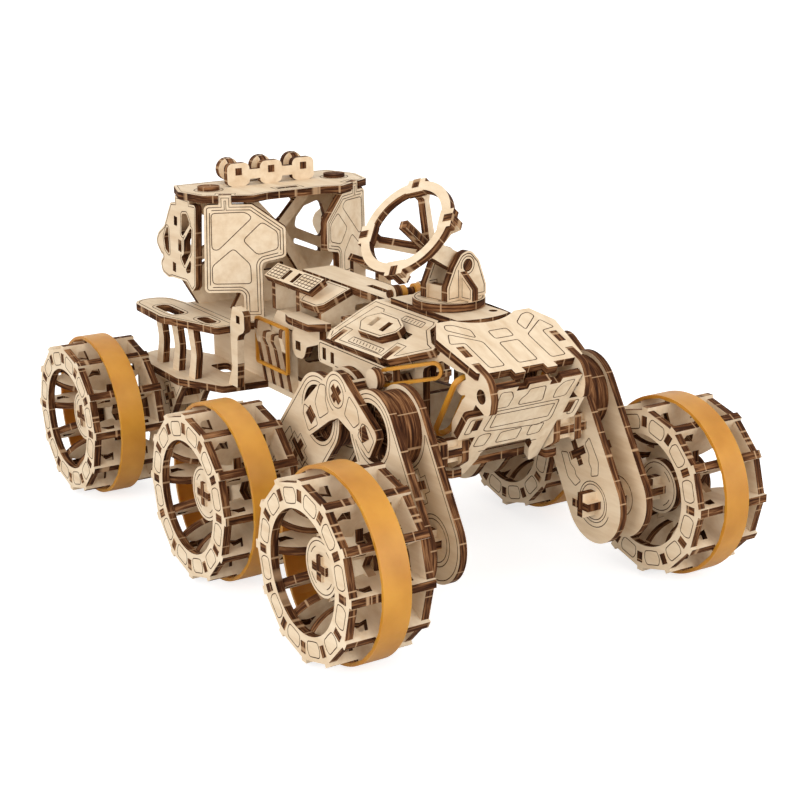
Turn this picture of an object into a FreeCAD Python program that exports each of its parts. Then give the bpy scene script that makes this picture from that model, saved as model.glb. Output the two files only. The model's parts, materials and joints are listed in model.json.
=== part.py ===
import FreeCAD, Part
import math
import os
from FreeCAD import Placement, Rotation, Vector

# Six-wheel planetary rover, a push-together model cut from 3 mm plywood and
# held with rubber bands. Millimetres. +X is forward, +Y is the rover's left,
# +Z is up, and the origin is on the ground under the middle of the wheelbase.
#
# Places are written from the drawing datum: x from the rear axle, z from the
# height of the axles, y from the middle plane. Plates of the right side are
# drawn, and the left side mirrors them.

DOC = FreeCAD.newDocument("PlanetaryRover")

# ---------------------------------------------------------------- sizes
SIZES = (
    # name, millimetres
    ("ply", 3.0),                 # thickness of every plate
    ("play", 0.35),               # running clearance of what turns
    ("proud", 0.2),               # how far a tab stands out of its slot
    ("axle_mid", 118.4),          # from the rear axle
    ("axle_front", 205.3),
    ("track_half", 72.1),         # middle plane to the wheels' middle
    ("wheel_radius", 33.9),       # over the rubber
    ("tyre_wall", 1.4),
    ("tyre_width", 10.5),
    ("wheel_width", 31.8),        # over both rings
    ("ring_hole", 21.5),
    ("ring_corner", 31.0),        # corners of the twelve-sided rings
    ("rib_reach", 31.9),
    ("rib_waist", 15.0),          # ribs' inner edge, half way across
    ("star_tip", 21.0),
    ("star_valley", 15.0),
    ("hub_disc", 10.3),
    ("hub_box", 12.0),
    ("hub_length", 17.0),
    ("axle_cross", 9.0),          # across the plus-shaped axle
    ("bearing", 7.5),             # discs that turn in the legs
    ("leg_inner", 33.0),          # inner face of the inner leg plate
    ("leg_outer", 45.0),          # inner face of the outer leg plate
    ("leg_head", 15.0),
    ("leg_foot", 15.5),
    ("pivot_x", 166.0),           # rocker's pivot
    ("pivot_z", 45.1),
    ("knee_front_x", 184.5),      # heads of the three legs
    ("knee_front_z", 35.3),
    ("knee_mid_x", 147.5),
    ("knee_mid_z", 33.0),
    ("frame_half", 18.3),         # inner face of the chassis side plates
    ("floor_z", 17.0),            # underside of the chassis floor
    ("spine_z", 63.2),            # top of the chassis sides, under the spine plate
    ("mast_x", 160.7),            # turntable's centre
    ("mast_disc", 13.3),
    ("base_disc", 24.3),
    ("deck_fall", 27.6),          # degrees, side decks
    ("hood_fall", 21.3),          # degrees
    ("hood_long", 31.0),          # down the slope
    ("nose_fall", 55.5),          # degrees
    ("nose_x", 214.2),            # top edge of the nose plate's back face
    ("nose_z", 54.9),
    ("nose_long", 46.0),          # top edge to the toes
    ("deck_edge", 10.4),          # inner edge of a side deck's underside from the middle plane
    ("deck_lift", 1.25),          # that edge above the spine strip's underside
    ("box_gap", 0.5),             # lever box to the inner leg plate
    ("roof_z", 93.0),             # underside of the roof
    ("cab_floor_z", 42.0),
    ("cab_side", 37.0),           # inner face of the cab's side frames
    ("panel_turn", 30.7),         # degrees, front panels
    ("lamp_pitch", 15.4),
    ("lamp_radius", 4.7),
)

sheet = DOC.addObject("Spreadsheet::Sheet", "Sizes")
for row, (name, millimetres) in enumerate(SIZES, start=1):
    sheet.set("A%d" % row, name)
    sheet.set("B%d" % row, str(millimetres))
    sheet.setAlias("B%d" % row, name)
# inner face of the lever box's side plate
sheet.set("A99", "box_face")
sheet.set("B99", "=leg_inner - box_gap - ply")
sheet.setAlias("B99", "box_face")
DOC.recompute()


def size(name):
    return float(sheet.get(name))


PLY = size("ply")
PLAY = size("play")
PROUD = size("proud")


# ---------------------------------------------------------------- outlines
def rounded(points):
    """Closed outline of (u, v) or (u, v, corner radius) points."""
    spots = [Vector(p[0], p[1], 0) for p in points]
    radii = [p[2] if len(p) > 2 else 0.0 for p in points]
    count = len(spots)
    starts, ends, arcs = [], [], []
    for i, spot in enumerate(spots):
        back = spots[i - 1] - spot
        ahead = spots[(i + 1) % count] - spot
        half = back.getAngle(ahead) / 2
        if radii[i] <= 0 or half > math.radians(89):
            starts.append(spot)
            ends.append(spot)
            arcs.append(None)
            continue
        room = 0.48 * min(back.Length, ahead.Length)
        run = min(radii[i] / math.tan(half), room)
        radius = run * math.tan(half)
        first = spot + back.normalize() * run
        last = spot + ahead.normalize() * run
        middle = spot + (back + ahead).normalize() * (radius / math.sin(half) - radius)
        starts.append(first)
        ends.append(last)
        arcs.append(Part.Arc(first, middle, last))
    path = []
    for i in range(count):
        if arcs[i] is not None:
            path.append(arcs[i])
        after = starts[(i + 1) % count]
        if (after - ends[i]).Length > 1e-6:
            path.append(Part.LineSegment(ends[i], after))
    return path


def disc(u, v, radius):
    return [Part.Circle(Vector(u, v, 0), Vector(0, 0, 1), radius)]


def slot(u, v, wide, tall, turn=0.0, corner=0.0):
    """Rectangle of wide x tall about (u, v), turned by turn degrees."""
    c, s = math.cos(math.radians(turn)), math.sin(math.radians(turn))
    corners = ((-wide, -tall), (wide, -tall), (wide, tall), (-wide, tall))
    return rounded([(u + (a * c - b * s) / 2, v + (a * s + b * c) / 2, corner) for a, b in corners])


def plus(u, v, across, thick, turn=0.0):
    """Plus sign, as two crossed plates show in section."""
    a, t = across / 2, thick / 2
    quarter = ((a, -t), (a, t), (t, t))
    points = []
    for step in range(4):
        angle = math.radians(turn + 90 * step)
        c, s = math.cos(angle), math.sin(angle)
        points += [(u + p * c - q * s, v + p * s + q * c) for p, q in quarter]
    return rounded(points)


def capsule(u1, v1, r1, u2, v2, r2):
    """Two rounds joined by their outer tangents."""
    span = math.hypot(u2 - u1, v2 - v1)
    heading = math.atan2(v2 - v1, u2 - u1)
    lean = math.acos((r1 - r2) / span)

    def at(u, v, r, angle):
        return Vector(u + r * math.cos(angle), v + r * math.sin(angle), 0)

    a1, b1 = at(u1, v1, r1, heading + lean), at(u1, v1, r1, heading - lean)
    a2, b2 = at(u2, v2, r2, heading + lean), at(u2, v2, r2, heading - lean)
    back = at(u1, v1, r1, heading + math.pi)
    front = at(u2, v2, r2, heading)
    return [
        Part.Arc(a1, back, b1),
        Part.LineSegment(b1, b2),
        Part.Arc(b2, front, a2),
        Part.LineSegment(a2, a1),
    ]


# ---------------------------------------------------------------- plates
# "flat" lies level and thickens upward, "side" stands along the rover and
# thickens towards its right, "front" stands across it and thickens forward.
FLAT = Rotation()
SIDE = Rotation(Vector(1, 0, 0), 90)
FRONT = Rotation(Vector(1, 1, 1), 120)


def plane_of(body, role):
    return next(f for f in body.Origin.OriginFeatures if f.Role == role)


def sketch_on(body, role, outline, holes=(), lift=0.0):
    sketch = body.newObject("Sketcher::SketchObject", body.Name + "Sketch")
    sketch.AttachmentSupport = [(plane_of(body, role), "")]
    sketch.MapMode = "FlatFace"
    sketch.AttachmentOffset = Placement(Vector(0, 0, lift), Rotation())
    for path in (outline, *holes):
        sketch.addGeometry(list(path), False)
    return sketch


def padded(body, sketch, length="Sizes.ply"):
    pad = body.newObject("PartDesign::Pad", body.Name + "Pad")
    pad.Profile = sketch
    pad.setExpression("Length", length)
    sketch.Visibility = False
    return pad


def put(thing, at, turn):
    """Places a thing from the drawing datum; at holds numbers or expressions."""
    thing.Placement = Placement(Vector(), turn)
    x, y, z = at
    thing.setExpression("Placement.Base.x", "%s - Sizes.axle_front / 2" % x)
    thing.setExpression("Placement.Base.y", "%s" % y)
    thing.setExpression("Placement.Base.z", "%s + Sizes.wheel_radius" % z)
    return thing


def plate(name, turn, at, outline, holes=(), thick="Sizes.ply"):
    body = DOC.addObject("PartDesign::Body", name)
    padded(body, sketch_on(body, "XY_Plane", outline, holes), thick)
    return put(body, at, turn)


NODES = []


def node(label, thing):
    """Names a finished sub-part and lists it for export."""
    thing.Label = label
    NODES.append(thing)
    return thing


def fused(name, members):
    if len(members) == 1:
        return members[0]
    thing = DOC.addObject("Part::MultiFuse", "Fuse_" + name)
    thing.Shapes = list(members)
    return thing


def grouped(name, members):
    """Like pieces that don't touch, kept as separate solids."""
    thing = DOC.addObject("Part::Compound", "Group_" + name)
    thing.Links = list(members)
    return thing


def mirrored(name, source):
    thing = DOC.addObject("Part::Mirroring", "Mirror_" + name)
    thing.Source = source
    thing.Base = Vector(0, 0, 0)
    thing.Normal = Vector(0, 1, 0)
    return thing


def piece(label, *members):
    """One sub-part, fused from its members where it has more than one."""
    return node(label, fused(label, members))


def pair(label, *members):
    """A right and a left sub-part, each fused from its members."""
    right = piece(label + "_right", *members)
    node(label + "_left", mirrored(label, right))


def both(label, *members):
    """The same on both sides as one sub-part of two solids."""
    right = fused(label, members)
    return node(label, grouped(label, [right, mirrored(label, right)]))


# ---------------------------------------------------------------- wheels
RIBS = 12
HALF_WHEEL = size("wheel_width") / 2


def even_sided(sides, radius, start=0.0):
    """Regular outline; start turns its first corner, counted in sides."""
    turns = [2 * math.pi * (i + start) / sides for i in range(sides)]
    return rounded([(radius * math.cos(turn), radius * math.sin(turn)) for turn in turns])


def star_outline():
    step = math.pi / RIBS
    tips = (size("star_tip"), size("star_valley"))
    return rounded(
        [(tips[i % 2] * math.cos(i * step), tips[i % 2] * math.sin(i * step)) for i in range(2 * RIBS)]
    )


def rib_outline():
    """A rib in (radius, across) with its tabs, seat for the tyre and curved inner edge."""
    seat = size("wheel_radius") - size("tyre_wall")
    reach, waist, hole = size("rib_reach"), size("rib_waist"), size("ring_hole")
    half_seat = size("tyre_width") / 2
    inside = HALF_WHEEL - PLY
    tab_low, tab_high = hole + 3.0, hole + 7.0
    start, finish = Vector(hole + 0.8, inside, 0), Vector(hole + 0.8, -inside, 0)
    corners = [
        (hole + 0.8, -inside), (tab_low, -inside), (tab_low, -HALF_WHEEL - PROUD),
        (tab_high, -HALF_WHEEL - PROUD), (tab_high, -HALF_WHEEL), (reach, -HALF_WHEEL),
        (reach, -half_seat), (seat, -half_seat), (seat, half_seat), (reach, half_seat),
        (reach, HALF_WHEEL), (tab_high, HALF_WHEEL), (tab_high, HALF_WHEEL + PROUD),
        (tab_low, HALF_WHEEL + PROUD), (tab_low, inside), (hole + 0.8, inside),
    ]
    spots = [Vector(u, v, 0) for u, v in corners]
    path = [Part.LineSegment(a, b) for a, b in zip(spots, spots[1:])]
    path.append(Part.Arc(start, Vector(waist, 0, 0), finish))
    return path


def rib_hole(side):
    """Boat-shaped window in one half of a rib."""
    low = size("ring_hole") + 3.0
    near, far = 0.37 * (HALF_WHEEL - PLY), 0.83 * (HALF_WHEEL - PLY)
    step = (far - near) / 4
    deck = [(low, near), (low + 4.2, near + step), (low + 4.2, far - step), (low, far), (low + 0.8, near + 2 * step)]
    return rounded([(u, side * v) for u, v in deck])


def wheel_frame():
    body = DOC.addObject("PartDesign::Body", "WheelMaster")
    star = sketch_on(body, "XZ_Plane", star_outline(), lift=-PLY / 2)
    padded(body, star)
    holes = [rib_hole(side) for side in (-1, 1)]
    rib = padded(body, sketch_on(body, "XY_Plane", rib_outline(), holes, lift=-PLY / 2))
    ribs = body.newObject("PartDesign::PolarPattern", "Ribs")
    ribs.Originals = [rib]
    ribs.Axis = (plane_of(body, "Y_Axis"), [""])
    ribs.Angle = 360
    ribs.Occurrences = RIBS
    body.Tip = ribs
    ring_hole = disc(0, 0, size("ring_hole"))
    for lift in (HALF_WHEEL - PLY, -HALF_WHEEL):
        padded(body, sketch_on(body, "XZ_Plane", even_sided(RIBS, size("ring_corner")), [ring_hole], lift))
    half_hub = size("hub_length") / 2
    box = size("hub_box")
    padded(body, sketch_on(body, "XZ_Plane", slot(0, 0, box, box), lift=-half_hub), "Sizes.hub_length")
    for lift in (half_hub - PLY, -half_hub):
        padded(body, sketch_on(body, "XZ_Plane", disc(0, 0, size("hub_disc")), lift=lift))
    cut = sketch_on(body, "XZ_Plane", plus(0, 0, size("axle_cross"), PLY))
    bore = body.newObject("PartDesign::Pocket", "AxleBore")
    bore.Profile = cut
    bore.Type = "ThroughAll"
    bore.Midplane = True
    cut.Visibility = False
    return body


def tyre():
    """Rubber band, round outside and in short flats inside, where it bridges from rib to rib."""
    body = DOC.addObject("PartDesign::Body", "TyreMaster")
    outer = size("wheel_radius")
    inside = even_sided(2 * RIBS, (outer - size("tyre_wall")) / math.cos(math.pi / (2 * RIBS)), 0.5)
    ring = sketch_on(body, "XZ_Plane", disc(0, 0, outer), [inside], lift=-size("tyre_width") / 2)
    padded(body, ring, "Sizes.tyre_width")
    return body


def axle():
    """Plus-shaped axle of a right wheel, with the discs that turn in its leg."""
    body = DOC.addObject("PartDesign::Body", "AxleMaster")
    track = size("track_half")
    outer_end = size("hub_length") / 2 + 1.0
    inner_end = size("leg_inner") - 6.0
    reach = track + outer_end - inner_end
    padded(
        body, sketch_on(body, "XZ_Plane", plus(0, 0, size("axle_cross"), PLY), lift=-(track - inner_end)),
        "%s" % reach,
    )
    for inner_face in (size("leg_inner"), size("leg_outer")):
        padded(body, sketch_on(body, "XZ_Plane", disc(0, 0, size("bearing")), lift=-(track - inner_face)))
    nut = slot(0, 0, size("hub_box"), size("hub_box"))
    nut_face = size("leg_outer") + PLY + 2.0
    padded(body, sketch_on(body, "XZ_Plane", nut, lift=-(track - nut_face)), "2 * Sizes.ply")
    return body


WHEELS = (
    # end, side, axle's x, side's sign
    ("front", "right", "Sizes.axle_front", -1),
    ("mid", "right", "Sizes.axle_mid", -1),
    ("rear", "right", "0", -1),
    ("front", "left", "Sizes.axle_front", 1),
    ("mid", "left", "Sizes.axle_mid", 1),
    ("rear", "left", "0", 1),
)


def wheels():
    masters = (("wheel", wheel_frame()), ("tyre", tyre()), ("axle", axle()))
    for end, side, x, sign in WHEELS:
        turn = Rotation(Vector(0, 0, 1), 0 if sign < 0 else 180)
        for kind, master in masters:
            copy = DOC.addObject("Part::Compound", "%s_%s_%s" % (kind, end, side))
            copy.Links = [master]
            put(copy, (x, "%d * Sizes.track_half" % sign, "0"), turn)
            piece("%s_%s_%s" % (kind, end, side), copy)


# ---------------------------------------------------------------- suspension
LEGS = (
    # end, head, foot
    ("front", "knee_front", "axle_front"),
    ("mid", "knee_mid", "axle_mid"),
)


def stays(end):
    """Tie bar and washer plate between the front leg and the chassis side."""
    if end != "front":
        return []
    x, z = size("knee_front_x") + 12.0, size("knee_front_z") - 7.4
    return [
        plate("LegStay", SIDE, ("0", "-Sizes.frame_half - Sizes.ply", "0"), plus(x, z, 8.0, PLY), (),
              "Sizes.leg_inner - Sizes.frame_half - Sizes.ply"),
        plate("LegWasher", SIDE, ("0", "-Sizes.leg_inner + 5.6", "0"), slot(x, z, 8.4, 9.4, 0, 1)),
    ]


def leg(end, knee, foot):
    head_x, head_z = size(knee + "_x"), size(knee + "_z")
    foot_x = size(foot)
    head, heel = size("leg_head"), size("leg_foot")
    outline = capsule(head_x, head_z, head, foot_x, 0, heel)
    bearing = disc(foot_x, 0, size("bearing") + PLAY)
    tie_x = foot_x + 0.46 * (head_x - foot_x)
    tie_z = 0.46 * head_z
    lean = math.degrees(math.atan2(head_z, head_x - foot_x))
    at_inner = ("0", "-Sizes.leg_inner", "0")
    at_outer = ("0", "-Sizes.leg_outer", "0")
    eye = disc(head_x, head_z, head - 4.5)
    members = [
        plate("LegInner_" + end, SIDE, at_inner, outline, [bearing]),
        plate("LegOuter_" + end, SIDE, at_outer, outline, [bearing, eye]),
        plate("LegTie_" + end, SIDE, ("0", "-Sizes.leg_inner + Sizes.proud", "0"),
              plus(tie_x, tie_z, 9.5, PLY, lean), (),
              "Sizes.leg_outer - Sizes.leg_inner + Sizes.ply + 2 * Sizes.proud"),
        plate("LegDisc_" + end, SIDE, ("0", "-Sizes.leg_inner - Sizes.ply", "0"),
              disc(head_x, head_z, head - 1.5), (), "Sizes.leg_outer - Sizes.leg_inner - Sizes.ply"),
        *stays(end),
        plate("LegPin_" + end, SIDE, ("0", "-Sizes.leg_outer", "0"),
              slot(head_x, head_z, 5.0, 5.0, lean), (), "2 * Sizes.ply + Sizes.proud"),
    ]
    pair("leg_" + end, *members)


def rocker():
    """The chevron that links the heads of the front and middle legs."""
    px, pz = size("pivot_x"), size("pivot_z")
    fx, fz = size("knee_front_x"), size("knee_front_z")
    mx, mz = size("knee_mid_x"), size("knee_mid_z")
    outline = rounded([
        (px, pz + 10, 8), (fx + 9, fz + 1.5, 3), (fx + 3, fz - 8.5, 2), (px + 11, pz - 12, 1),
        (px + 1, pz - 8.5, 2), (px - 5, pz - 11, 1), (mx - 2.5, mz - 9, 2), (mx - 8, mz + 1, 3),
        (mx + 5, mz + 12, 4),
    ])
    holes = [slot(fx, fz, 5.0, 5.0, math.degrees(math.atan2(fz, fx - size("axle_front")))),
             slot(mx, mz, 5.0, 5.0, math.degrees(math.atan2(mz, mx - size("axle_mid"))))]
    arm = plate("RockerArm", SIDE, ("0", "-Sizes.leg_outer - Sizes.ply", "0"), outline, holes)
    shaft = plate("RockerShaft", SIDE, ("0", "-Sizes.frame_half - Sizes.ply", "0"),
                  plus(px, pz, 7.0, PLY, 45), (),
                  "Sizes.leg_outer + Sizes.ply + Sizes.proud - Sizes.frame_half")
    pair("rocker", arm, shaft)


# ---------------------------------------------------------------- chassis
def hood_at(along, up=0.0):
    """(x, z) along the hood's underside and up through its thickness."""
    fall = math.radians(size("hood_fall"))
    return (size("mast_x") + 21.1 + along * math.cos(fall) + up * math.sin(fall),
            size("spine_z") + PLY + 0.4 - along * math.sin(fall) + up * math.cos(fall))


def deck_at(down, up=0.0):
    """(y, z) down the underside of the right side deck and up through its thickness."""
    fall = math.radians(size("deck_fall"))
    return (-size("deck_edge") - down * math.cos(fall) - up * math.sin(fall),
            size("spine_z") + size("deck_lift") - down * math.sin(fall) + up * math.cos(fall))


def deck_under(across):
    """Height of a side deck's underside at a distance from the middle plane."""
    fall = math.radians(size("deck_fall"))
    return size("spine_z") + size("deck_lift") - (across - size("deck_edge")) * math.tan(fall)


def deck_down(across):
    """How far down its slope a side deck's underside reaches a distance from the middle plane."""
    return (across - size("deck_edge")) / math.cos(math.radians(size("deck_fall")))


def nose_at(down, out=0.0):
    """(x, z) down the nose plate's back face and out ahead of it."""
    fall = math.radians(size("nose_fall"))
    return (size("nose_x") - down * math.cos(fall) + out * math.sin(fall),
            size("nose_z") - down * math.sin(fall) - out * math.cos(fall))


FLUSH = PLY + PROUD
HOOD_TAB = (14.8, 20.9)   # the side plates' tabs along the hood
HOOD_SLOT = 24.8          # where the hood opens for the side plates' ears
WING = (12.5, 24.2)       # top and bottom of the nose plate's wings
NOSE_TAB = (14.0, 20.2)   # the side plates' tabs down the nose plate


def chassis():
    floor_z, spine = size("floor_z"), size("spine_z")
    under_deck = deck_under(size("frame_half") + PLY)
    hood_rear, hood_front = HOOD_TAB
    tab_top, tab_low = NOSE_TAB
    wing_top, wing_low = WING
    outline = rounded([
        (8, floor_z), (8, size("cab_floor_z")), (60, size("cab_floor_z")), (68, 52, 3), (118, 52, 3),
        (126, under_deck), (184, under_deck), (186, 59, 1), hood_at(8.5),
        hood_at(hood_rear), hood_at(hood_rear, FLUSH), hood_at(hood_front, FLUSH), hood_at(hood_front),
        hood_at(HOOD_SLOT), (*hood_at(HOOD_SLOT, FLUSH), 0.5), (*hood_at(34.6, FLUSH), 6), (217.8, 50.5, 6),
        (216.8, 44.8, 2), (213.9, 44.2, 1), nose_at(9.8), nose_at(tab_top), nose_at(tab_top, FLUSH),
        nose_at(tab_low, FLUSH), nose_at(tab_low), nose_at(wing_low), (200.2, 24, 2), (194, floor_z + PLY),
        (172, floor_z + PLY, 2), (150, 22, 5), (118, floor_z),
    ])
    windows = [
        rounded([(74, 26, 3), (74, 46, 3), (112, 46, 3), (112, 26, 3)]),
        rounded([(120, 28, 3), (121, 48, 3), (128, 55, 3), (148, 55, 3), (148, 30, 3)]),
        # open frame behind the nose plate, with the hook that a band pulls on
        rounded([(176, 28, 3), (176, 52, 3), (188, 57.5, 3), (197.6, 56, 1), (202.2, 56.2, 0.6), (202.8, 54.2, 0.6),
                 (197.3, 51.4, 1), (197.3, 48.8, 1), (200, 48, 1), (203.6, 49.2, 0.6), nose_at(14.5, -6.5),
                 (*nose_at(26, -6.5), 3), (194, 28, 3)]),
        disc(211.8, 50.3, 2.6),
    ]
    pair("chassis_side", plate("ChassisSide", SIDE, ("0", "-Sizes.frame_half", "0"), outline, windows))

    half = size("frame_half")
    toe = nose_at(size("nose_long"))[0]
    edge = [(8, half), (170, half), (176, half + 6, 4), (196, half + 6.2, 5), (196, half - 0.3, 1), (toe, half - 0.3)]
    floor = rounded([*[(p[0], -p[1], *p[2:]) for p in edge], *reversed(edge)])
    piece("chassis_floor", plate("ChassisFloor", FLAT, ("0", "0", "Sizes.floor_z"), floor,
                                 [slot(45, 0, 26, 14, 0, 4), slot(95, 0, 40, 14, 0, 4)]))
    # x, bottom, top of each cross plate
    crosses = ((152, 24, spine), (114, floor_z + PLY, 58), (62, floor_z + PLY, 44), (12, floor_z + PLY, 40))
    members = []
    for i, (x, low, top) in enumerate(crosses):
        side = [(half, low), (half, top)]
        if top > deck_under(half):   # clears the side decks
            shoulder = size("deck_edge") + (size("deck_lift") - 0.1) / math.tan(math.radians(size("deck_fall")))
            side = [(half, low), (half, deck_under(half) - 0.1), (shoulder, top)]
        members.append(plate("Cross%d" % i, FRONT, ("%s" % x, "0", "0"),
                             rounded([*side, *[(-y, z) for y, z in reversed(side)]]),
                             [slot(0, (low + top) / 2, 16, (top - low) * 0.45, 0, 3)]))
    node("chassis_crosses", grouped("crosses", members))


def both_edges(half_outline):
    """Closes an outline given for the right half, from the middle outward and round."""
    return rounded([*half_outline, *[(p[0], -p[1], *p[2:]) for p in reversed(half_outline)]])


def hood():
    inner, outer = size("frame_half") - 0.1, size("frame_half") + PLY + 0.1
    long = size("hood_long")
    key_near, key_far, key_tip = 4.6, 8.9, long + 2.6    # tabs over the nose plate
    outline = both_edges([
        (long, -key_near), (key_tip, -key_near), (key_tip, -key_far), (long, -key_far), (long, -inner),
        (HOOD_SLOT, -inner), (HOOD_SLOT, -outer), (long - 0.6, -outer), (long - 1.2, -outer - 1.0, 0.5),
        (8.5, -outer - 4.0, 1.5), (-0.5, -20),
    ])
    turn = Rotation(Vector(0, 1, 0), size("hood_fall"))
    hood_plate = plate("HoodPlate", turn, ("Sizes.mast_x + 21.1", "0", "Sizes.spine_z + Sizes.ply + 0.4"), outline,
                       [slot(sum(HOOD_TAB) / 2, side * (inner + outer) / 2, HOOD_TAB[1] - HOOD_TAB[0], PLY)
                        for side in (-1, 1)])
    bite = plate("HoodBite", FLAT, ("Sizes.mast_x", "0", "Sizes.spine_z - 10"),
                 disc(0, 0, size("base_disc") + 1.2), (), "30")
    cut = DOC.addObject("Part::Cut", "HoodCut")
    cut.Base = hood_plate
    cut.Tool = bite
    piece("hood_plate", cut)

    turn = Rotation(Vector(0, 1, 0), 180 - size("nose_fall"))
    toe, (wing_top, wing_low) = size("nose_long"), WING
    neck = size("frame_half") - 0.6
    notch = 2.3
    face = both_edges([
        (0, -key_near), (notch, -key_near), (notch, -key_far - 0.4), (0, -key_far - 0.4), (0, -neck),
        (wing_top, -neck), (wing_top, -neck - 7.3, 1), (wing_low, -neck - 7.5, 1), (wing_low, -neck),
        (toe - 2, -neck, 1), (toe, -neck + 3.5, 1), (toe - 8, -neck + 6.5, 1), (toe - 11, -neck + 6.5, 1),
        (toe - 14, -neck + 8.5, 1),
    ])
    tab_middle, tab_long = sum(NOSE_TAB) / 2, NOSE_TAB[1] - NOSE_TAB[0]
    at_side = size("frame_half") + PLY / 2
    piece("nose_plate", plate("NosePlate", turn, ("Sizes.nose_x", "0", "Sizes.nose_z"), face,
                              [slot(tab_middle, side * at_side, tab_long, PLY) for side in (-1, 1)]))


# ---------------------------------------------------------------- rear legs and racks
def rear_leg():
    """Two hanging plates under the rear shelf, and the tie between them."""
    heel, low = size("leg_foot"), size("floor_z")
    outline = rounded([
        (-heel, low), (33, low), (25, 8, 5), (11, -heel + 4, 9), (5, -heel, 5), (-6, -heel, 9),
        (-heel, -6, 9),
    ])
    bearing = disc(0, 0, size("bearing") + PLAY)
    members = [
        plate("RearInner", SIDE, ("0", "-Sizes.leg_inner", "0"), outline, [bearing]),
        plate("RearOuter", SIDE, ("0", "-Sizes.leg_outer", "0"), outline, [bearing]),
        plate("RearTie", SIDE, ("0", "-Sizes.leg_inner + Sizes.proud", "0"),
              plus(18, 8, 9.5, PLY, 20), (),
              "Sizes.leg_outer - Sizes.leg_inner + Sizes.ply + 2 * Sizes.proud"),
    ]
    pair("leg_rear", *members)


def rack():
    """Shelf over the rear legs, its upright ribs, and the fender on top of them."""
    inner = size("frame_half") + PLY
    shelf = rounded([
        (8, -inner), (-13, -30, 8), (-14, -44, 10), (-2, -51, 10), (34, -51.5, 2), (56, -41, 2), (58, -inner),
    ])
    members = [plate("Shelf", FLAT, ("0", "0", "Sizes.floor_z"), shelf, [slot(30, -inner - 5.7, 14, 8, 0, 2)])]
    low, high = size("floor_z") + PLY, size("cab_floor_z")
    mid = (low + high) / 2
    for i, x in enumerate((2, 18, 34)):
        rib = rounded([(x, low), (x + 6, low), (x + 8.5, mid, 9), (x + 6, high), (x, high), (x + 3.5, mid, 9)])
        members.append(plate("RackRib%d" % i, SIDE, ("0", "-43", "0"), rib))
    pair("rack", *members)

    fender = rounded([
        (8, -33.5), (-9, -36, 9), (-9, -52, 9), (24, -53.5, 6), (56, -43, 2), (56, -33.5),
    ])
    pair("fender", plate("Fender", FLAT, ("0", "0", "Sizes.cab_floor_z"), fender,
                         [slot(16, -45, 20, 6, 0, 3), slot(42, -40.5, 12, 5, 0, 2.4)]))

    hook = rounded([
        (53, low), (61, low), (62, 30, 8), (62.5, 42, 3), (69, 45, 3), (69, 53, 2), (59, 54, 2), (56.3, 46, 4),
        (56.3, 36, 8), (57, 28, 8),
    ])
    both("struts", plate("Strut", SIDE, ("0", "-Sizes.leg_inner - 1", "0"), hook, [slot(63.5, 49, 3.2, 3.2)]))


# ---------------------------------------------------------------- turntable and antenna
DRUM_X, DRUM_LIFT, DRUM_PIN = 133.5, 3.0, 1.5   # axis above the spine strip, pin's radius


def band_drum():
    """Pin across the spine strip with two discs, round which bands are wound."""
    axis = "Sizes.spine_z + Sizes.ply + %s" % DRUM_LIFT
    members = [plate("DrumPin", SIDE, ("%s" % DRUM_X, "9", axis), disc(0, 0, DRUM_PIN), (), "18")]
    for name, face in (("Right", "-4.5"), ("Left", "4.5 + Sizes.ply")):
        members.append(plate("Drum" + name, SIDE, ("%s" % DRUM_X, face, axis), disc(0, 0, DRUM_LIFT + 0.1)))
    return members


def turntable():
    half = size("deck_edge") - 0.1
    strip = plate("SpineStrip", FLAT, ("0", "0", "Sizes.spine_z"),
                  rounded([(128, -half), (181, -half), (181, half), (128, half)]))
    reach = size("base_disc")
    half += 0.8
    ahead = math.sqrt(reach ** 2 - half ** 2)
    right, left = Vector(ahead, -half, 0), Vector(ahead, half, 0)
    back_right, back_left = Vector(-22, -half, 0), Vector(-22, half, 0)
    front = [Part.Arc(right, Vector(reach, 0, 0), left), Part.LineSegment(left, back_left),
             Part.LineSegment(back_left, back_right), Part.LineSegment(back_right, right)]
    round_plate = plate("BaseDisc", FLAT, ("Sizes.mast_x", "0", "Sizes.spine_z + Sizes.ply"), front,
                        [disc(16.5, 8.0, 1.6)])
    piece("turntable_base", strip, round_plate, *band_drum())


MAST_TURN = -80.0        # degrees from +X: where the antenna looks
DISH_LIFT = 41.0         # degrees above level
TILT_BACK, TILT_UP = -2.7, 12.0      # tilt pin from the mast's axis and its disc's top
CHEEK = 4.0              # inner face of a cheek from the mast's middle


def mast_point(ahead, up, aside=0.0):
    """Datum place of a point on the mast, ahead of its axis and above its disc."""
    c, s = math.cos(math.radians(MAST_TURN)), math.sin(math.radians(MAST_TURN))
    return ("Sizes.mast_x + %.5f" % (ahead * c - aside * s), "%.5f" % (ahead * s + aside * c),
            "Sizes.spine_z + 3 * Sizes.ply + Sizes.play + %.5f" % up)


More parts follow.
